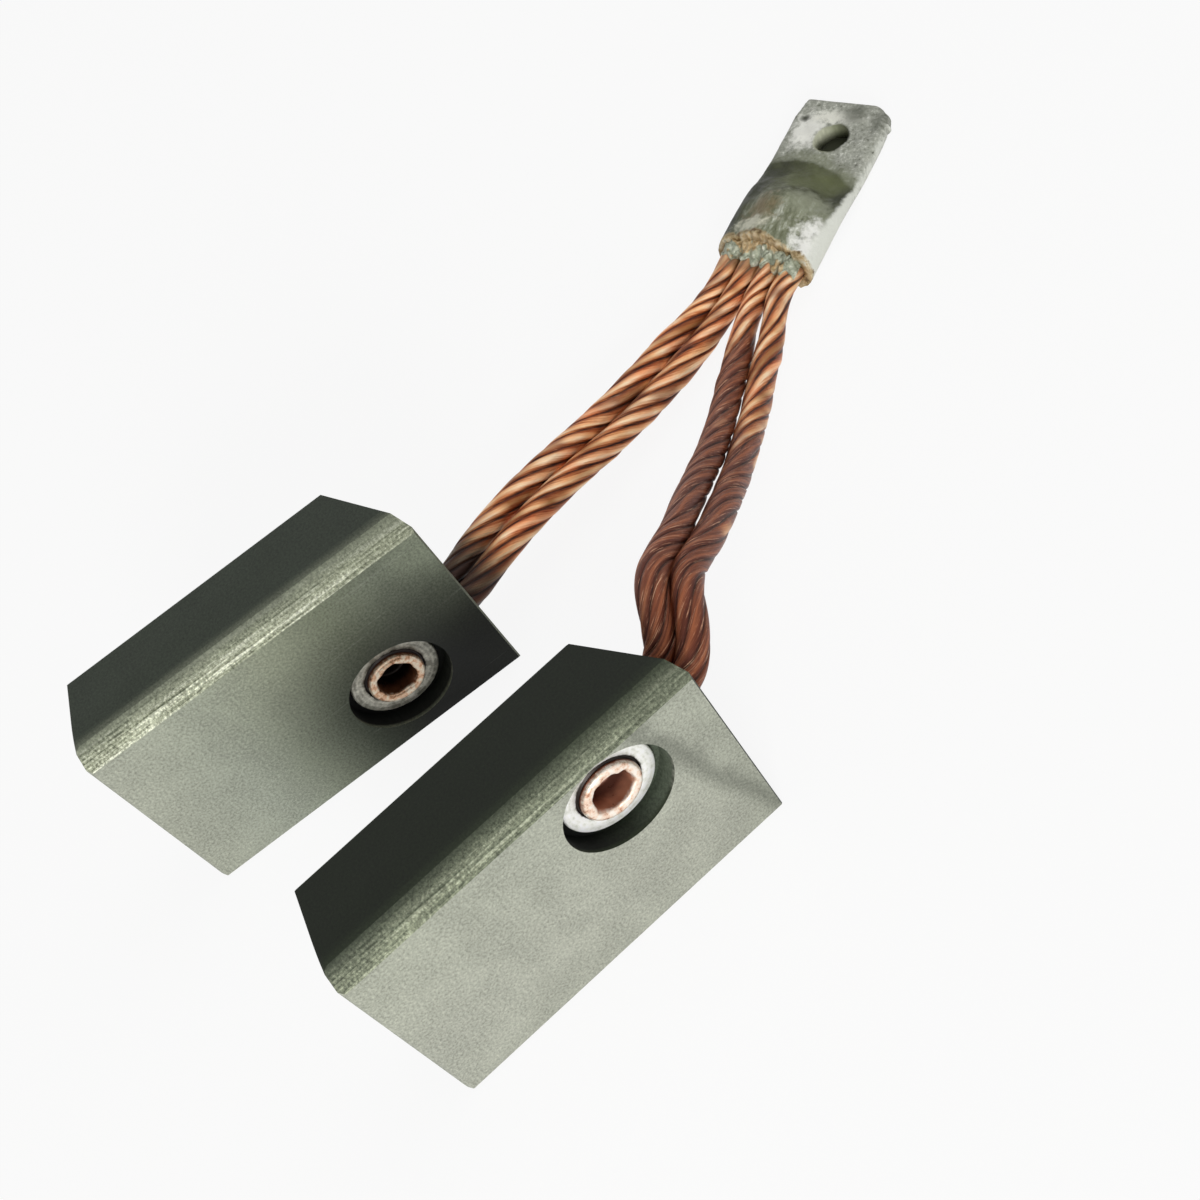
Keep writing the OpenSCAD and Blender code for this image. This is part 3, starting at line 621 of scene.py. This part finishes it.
    # The counterbore is painted dark as shade, blackest below the washer.
    radius = add(block, "VectorMath", {0: add(block, "Mapping", {
        "Vector": local, "Location": (0, RIVET_Y * MM, RIVET_Z[side] * MM),
        "Scale": (1e6, 1, 1)}, vector_type="TEXTURE")}, operation="LENGTH").outputs["Value"]
    inside = add(block, "Math", {
        0: add(block, "MapRange", {0: radius, 1: (COUNTERBORE_R + 0.2) * MM,
                                   2: (COUNTERBORE_R + 0.05) * MM}),
        1: add(block, "MapRange", {0: depth, 1: -0.0002, 2: -0.0008})}, operation="MULTIPLY")
    hollow = add(block, "ValToRGB", {0: add(block, "Math", {
        0: add(block, "Math", {0: along, 1: -RIVET_Y * MM}, operation="ADD"),
        1: 55.0, 2: 0.5}, operation="MULTIPLY_ADD")}, ramp=pit_shade)
    colour = add(block, "Mix", {0: inside, 6: colour, 7: hollow}, data_type="RGBA")
    lift = add(block, "MapRange", {0: add(block, "Math", {0: cloud, 1: 0.35, 2: grain},
                                          operation="MULTIPLY_ADD"),
                                   1: 0.45, 2: 0.90, 3: 0.62, 4: 1.36})
    colour = add(block, "Mix", {0: 1.0, 6: colour, 7: lift}, data_type="RGBA",
                 blend_type="MULTIPLY")
    add(block, "OutputMaterial", {0: add(block, "BsdfPrincipled", {
        "Base Color": colour, "Roughness": 0.6, "Specular IOR Level": 0.2,
        "Normal": add(block, "Bump", {"Height": grain, "Strength": 0.3,
                                      "Distance": 0.00008})})})
    return block


carbon = {
    "left": metal_graphite(
        "left",
        # The left block's outer face darkens towards its cable end, to near black along its lower
        # edge: a painted shadow of the cables and the terminal.
        ((0.0, "#aeb1a2"), (0.3, "#a4a998"), (0.5, "#979c88"), (0.68, "#7c826e"),
         (0.84, "#747a6a"), (1.0, "#868d7a")),
        ((0.0, "#acafa0"), (0.25, "#9da294"), (0.42, "#7d8373"), (0.57, "#4b5145"),
         (0.72, "#121411"), (1.0, "#1d201b")),
        ((0.40, "#5d624e"), (0.46, "#a0a58b"), (0.53, "#c1c5ac"), (0.60, "#fafce6")),
        "#8b907a", "#363c33", "#767b6a",
        ((0.0, "#050605"), (0.5, "#11130f"), (1.0, "#1c1f19")), 0.0),
    "right": metal_graphite(
        "right",
        ((0.0, "#abae9f"), (0.5, "#a9ac9e"), (0.8, "#a6a99b"), (1.0, "#a3a698")),
        ((0.0, "#adafa2"), (0.5, "#acaea1"), (0.85, "#aaac9f"), (1.0, "#a0a395")),
        ((0.40, "#4e5442"), (0.46, "#747a66"), (0.53, "#8a9078"), (0.61, "#b8bda4")),
        "#666c5b", "#161b12", "#2c3325",
        ((0.15, "#0b0d0a"), (0.45, "#262c22"), (0.75, "#474f42"), (1.0, "#565e50")), 0.7)}
for side in ("left", "right"):
    node = "carbon_block_" + side
    solid = bmesh.new()
    solid.from_mesh(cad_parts[node].data)
    bmesh.ops.remove_doubles(solid, verts=solid.verts, dist=1e-6)
    bmesh.ops.dissolve_limit(solid, angle_limit=0.02, verts=solid.verts, edges=solid.edges)
    mesh = bpy.data.meshes.new("carbon_" + side)
    solid.to_mesh(mesh)
    solid.free()
    mesh.materials.clear()
    mesh.materials.append(carbon[side])
    mesh.polygons.foreach_set("use_smooth", np.ones(len(mesh.polygons), bool))
    block = bpy.data.objects.new("carbon_" + side, mesh)
    bpy.context.scene.collection.objects.link(block)
    worn = block.modifiers.new("worn_edges", "BEVEL")
    worn.width, worn.segments, worn.limit_method = EDGE_WEAR * MM, 3, "ANGLE"
    worn.angle_limit, worn.harden_normals = 0.45, True
    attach(block, "root")
    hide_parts(node)

# Washers: punched steel, tinned, one on the floor of each counterbore, front and rear. A
# groove round the rivet's rim and faint rings are left by the riveting tool.
WASHER_R, WASHER_HEIGHT, WASHER_BORE_R = 7.5, 1.0, 4.1
FRONT_SEAT, REAR_SEAT = -3.6, -13.7


def turned(profile, side, ragged=None):
    """A surface of revolution about the rivet's line: each profile point (r, x) goes to
    (x, y + r cos a, z + r sin a) in the block's own frame, r changed by ragged(a, r, x)."""
    a = np.linspace(0, 2 * np.pi, 144, endpoint=False)[None]
    r, x = (np.array(v, float)[:, None] for v in zip(*profile))
    if ragged is not None:
        r = r + ragged(a, r, x)
    points = np.stack([x + 0 * a, RIVET_Y + r * np.cos(a), RIVET_Z[side] + r * np.sin(a)], -1)
    return in_place(points, BLOCK_AT[side])


def tinned_washer(name, side, low, mid, high):
    """Tinned steel: pale and a little blotchy, with rings 0.7 mm apart about the rivet's line, and
    a dark line round the rim painted as the rim's shadow."""
    material = new_material(name)
    at = BLOCK_AT[side]
    local = add(material, "Mapping", {
        "Vector": add(material, "TexCoord").outputs["Object"],
        "Location": (at[0] * MM, at[1] * MM, 0), "Rotation": (0, 0, np.radians(at[2]))},
        vector_type="TEXTURE")
    radius = add(material, "VectorMath", {0: add(material, "Mapping", {
        "Vector": local, "Location": (0, RIVET_Y * MM, RIVET_Z[side] * MM),
        "Scale": (1e6, 1, 1)}, vector_type="TEXTURE")}, operation="LENGTH").outputs["Value"]
    blotch = add(material, "TexNoise", {"Vector": local, "Scale": 700.0, "Detail": 5.0,
                                        "Roughness": 0.65})
    rings = add(material, "Math", {0: add(material, "Math", {0: radius, 1: 9000.0},
                                          operation="MULTIPLY")}, operation="SINE")
    tone = add(material, "Math", {0: rings, 1: 0.04, 2: blotch}, operation="MULTIPLY_ADD")
    colour = add(material, "ValToRGB", {0: tone}, ramp=((0.38, low), (0.5, mid), (0.64, high)))
    # Painted shadow: a dark line round the rivet's rim.
    colour = add(material, "Mix", {0: add(material, "MapRange", {
        0: add(material, "Math", {0: blotch, 1: 0.0006, 2: radius},
               operation="MULTIPLY_ADD"), 1: 0.00565, 2: 0.00545}),
        6: colour, 7: "#24170e"}, data_type="RGBA")
    add(material, "OutputMaterial", {0: add(material, "BsdfPrincipled", {
        "Base Color": colour, "Metallic": 0.3, "Roughness": 0.42,
        "Normal": add(material, "Bump", {"Height": blotch, "Strength": 0.25,
                                         "Distance": 0.0001})})})
    return material


# One tinned steel painted in two copies: the right washer near white as lit, the left greyer as
# shaded.
for side, finish in (("left", tinned_washer("tinned_steel_painted_shade", "left",
                                            "#8b897c", "#bdbbad", "#e6e4d6")),
                     ("right", tinned_washer("tinned_steel_painted_light", "right",
                                             "#dfe0d6", "#f6f6f0", "#ffffff"))):
    top, back = FRONT_SEAT + WASHER_HEIGHT, REAR_SEAT - WASHER_HEIGHT
    front = [(WASHER_BORE_R, FRONT_SEAT), (WASHER_R - 0.2, FRONT_SEAT),
             (WASHER_R, FRONT_SEAT + 0.2), (WASHER_R, top - 0.25), (WASHER_R - 0.08, top - 0.08),
             (WASHER_R - 0.25, top), (5.2, top), (5.12, top - 0.06), (5.1, top - 0.35),
             (4.7, top - 0.35), (4.68, top), (WASHER_BORE_R, top)]
    rear = [(WASHER_BORE_R, back), (WASHER_R - 0.2, back), (WASHER_R, back + 0.2),
            (WASHER_R, REAR_SEAT - 0.2), (WASHER_R - 0.2, REAR_SEAT), (WASHER_BORE_R, REAR_SEAT)]
    for place, profile in (("front", front), ("rear", rear)):
        name = "%s_washer_%s" % (place, side)
        piece = grid_mesh("tinned_" + name, turned(profile[::-1], side), finish, ring=True)
        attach(piece, "root")
        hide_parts(name)

# Rivets: half-tubular, of copper, set in from the inner face. The tube's end is rolled out
# over the front washer to a rim with a torn inner edge, and its head bears on the rear one.
HOLLOW_R, SHANK_R, HEAD_R, HOLLOW_FOOT = 3.2, 3.8, 5.5, -6.3
HEAD_SEAT, HEAD_BACK = REAR_SEAT - WASHER_HEIGHT, -15.9


def torn(seed, notch):
    """The rim's inner edge: a seeded ripple and one notch, fading out away from the edge."""
    def change(a, r, x):
        near = np.exp(-((r - 3.3) / 0.4) ** 2) * (x > -2.2)
        ripple = sum(np.sin(k * a + seed * k) / k for k in (3, 5, 8, 13)) * 0.5
        return near * (ripple + 0.6 * np.exp(-((a - notch) / 0.22) ** 2))
    return change


def rolled_copper(side, rim, wall, deep):
    """Rolled copper: peach where the tool wore against the rim, lightened to near white there as a
    painted highlight, brown with old flux down the hollow and painted darker towards its foot as
    shade."""
    material = new_material("rolled_copper_" + side)
    at = BLOCK_AT[side]
    local = add(material, "Mapping", {
        "Vector": add(material, "TexCoord").outputs["Object"],
        "Location": (at[0] * MM, at[1] * MM, 0), "Rotation": (0, 0, np.radians(at[2]))},
        vector_type="TEXTURE")
    depth = add(material, "SeparateXYZ", {0: local}).outputs[0]
    radius = add(material, "VectorMath", {0: add(material, "Mapping", {
        "Vector": local, "Location": (0, RIVET_Y * MM, RIVET_Z[side] * MM),
        "Scale": (1e6, 1, 1)}, vector_type="TEXTURE")}, operation="LENGTH").outputs["Value"]
    blotch = add(material, "TexNoise", {"Vector": local, "Scale": 900.0, "Detail": 4.0,
                                        "Roughness": 0.65})
    face = add(material, "ValToRGB", {0: blotch}, ramp=(
        (0.35, rim[0]), (0.46, rim[1]), (0.6, rim[2])))
    inside = add(material, "Mix", {0: add(material, "MapRange", {0: add(material, "Math", {
        0: blotch, 1: 0.0016, 2: depth}, operation="MULTIPLY_ADD"), 1: -0.0018, 2: -0.0042},
        interpolation_type="SMOOTHSTEP"), 6: wall, 7: deep}, data_type="RGBA")
    # Painted shade: the rim's outer side, next to the washer, is darker brown.
    inside = add(material, "Mix", {0: add(material, "MapRange", {0: radius, 1: 0.0040,
                                                                 2: 0.0044}),
                                   6: inside, 7: "#7a4630"}, data_type="RGBA")
    colour = add(material, "Mix", {0: add(material, "MapRange", {0: add(material, "Math", {
        0: blotch, 1: 0.0010, 2: depth}, operation="MULTIPLY_ADD"), 1: -0.0016, 2: -0.0011}),
        6: inside, 7: face}, data_type="RGBA")
    add(material, "OutputMaterial", {0: add(material, "BsdfPrincipled", {
        "Base Color": colour, "Metallic": 0.5,
        "Roughness": add(material, "MapRange", {0: blotch, 1: 0.3, 2: 0.7, 3: 0.25, 4: 0.5}),
        "Normal": add(material, "Bump", {"Height": blotch, "Strength": 0.4,
                                         "Distance": 0.0001})})})
    return material


# The left rivet is painted darker throughout, as shaded, and the right paler, as lit.
for side, seed, notch, finish in (
        ("left", 1.3, 2.4, rolled_copper("left", ("#8a5636", "#e6b58e", "#fff0d8"),
                                         "#8a5a3e", "#1c120d")),
        ("right", 2.9, 0.6, rolled_copper("right", ("#cf9a7c", "#f9dcc4", "#fff6ea"),
                                          "#c98d70", "#6d473a"))):
    foot = [(0.02, HOLLOW_FOOT), (2.6, HOLLOW_FOOT), (3.05, -6.2), (HOLLOW_R, -5.9)]
    bore = [(HOLLOW_R, x) for x in (-4.5, -3.2, -2.2, -1.85)]
    rim = [(3.24, -1.6), (3.36, -1.42), (3.6, -1.32), (4.0, -1.3), (4.35, -1.33), (4.6, -1.48),
           (4.75, -1.75), (4.8, -2.1), (4.76, -2.4), (4.6, -2.6)]
    shank = [(SHANK_R, -2.62), (SHANK_R, HEAD_SEAT)]
    head = [(HEAD_R, HEAD_SEAT), (HEAD_R, -15.6), (5.35, -15.82), (5.1, HEAD_BACK),
            (0.02, HEAD_BACK)]
    outline = foot + bore + rim + shank + head
    rivet = grid_mesh("copper_rivet_" + side, turned(outline[::-1], side, torn(seed, notch)),
                      finish)
    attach(rivet, "root")
    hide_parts("rivet_" + side)

# Floor and light: a white sheet that keeps the brush's shadow, a lamp low on the side that the
# outer faces look to, a weaker one above, and an even white surround. Under the bolt hole the
# sheet is painted dark grey as shade and left to the light that really reaches it.
paper = new_material("white_paper")
ray = add(paper, "LightPath").outputs
seen = add(paper, "Math", {0: ray["Is Camera Ray"], 1: ray["Is Glossy Ray"]}, operation="MAXIMUM")
seen = add(paper, "Math", {0: seen, 1: ray["Is Transmission Ray"]}, operation="MAXIMUM")
hole_at = in_place(np.array([0, BOLT_HOLE_Y, 0.0]), LUG_AT) * MM
away = add(paper, "VectorMath", {0: add(paper, "TexCoord").outputs["Object"],
                                 1: tuple(hole_at)}, operation="DISTANCE").outputs["Value"]
share = add(paper, "Math", {0: seen, 1: add(paper, "MapRange", {
    0: away, 1: 0.006, 2: 0.008, 3: 0, 4: 0.9})}, operation="MULTIPLY")
# Painted shade: the sheet is dark grey within 4 mm of the bolt hole's line, fading out by 8 mm.
shade = add(paper, "Mix", {0: add(paper, "MapRange", {0: away, 1: 0.004, 2: 0.008}),
                           6: "#55584a", 7: "#f2f2f0"}, data_type="RGBA")
add(paper, "OutputMaterial", {0: add(paper, "MixShader", {
    0: share, 1: add(paper, "BsdfDiffuse", {"Color": shade}),
    2: add(paper, "Emission", {"Color": "#ffffff", "Strength": 1.0})})})
sheet = bpy.data.meshes.new("floor")
sheet.from_pydata([(-3, -3, 0), (3, -3, 0), (3, 3, 0), (-3, 3, 0)], [], [(0, 1, 2, 3)])
sheet.materials.append(paper)
floor = bpy.data.objects.new("floor", sheet)
bpy.context.scene.collection.objects.link(floor)

surround = bpy.data.worlds.new("surround")
bpy.context.scene.world = surround
surround.use_nodes = True
surround.node_tree.nodes.clear()
ray = add(surround, "LightPath").outputs
seen = add(surround, "Math", {0: ray["Is Camera Ray"], 1: ray["Is Glossy Ray"]},
           operation="MAXIMUM")
seen = add(surround, "Math", {0: seen, 1: ray["Is Transmission Ray"]}, operation="MAXIMUM")
sky = add(surround, "Background", {"Color": "#ffffff", "Strength": add(
    surround, "MapRange", {0: seen, 3: 0.26, 4: 1.0})})
add(surround, "OutputWorld", {0: sky})

for name, place, size, power in (("key", (0.80, -0.28, 0.34), 0.30, 5.0),
                                 ("fill", (-0.2, 0.6, 0.9), 0.7, 2.0)):
    lamp = bpy.data.lights.new(name, "AREA")
    lamp.size, lamp.energy = size, power
    holder = bpy.data.objects.new(name, lamp)
    back = np.array(place) / np.linalg.norm(place)
    side = np.cross((0, 0, 1), back)
    side /= np.linalg.norm(side)
    holder.matrix_world = (Matrix.Translation(place)
                           @ Matrix(np.array([side, np.cross(back, side), back]).tolist())
                           .transposed().to_4x4())
    bpy.context.scene.collection.objects.link(holder)

bpy.context.scene.view_settings.view_transform = "Standard"
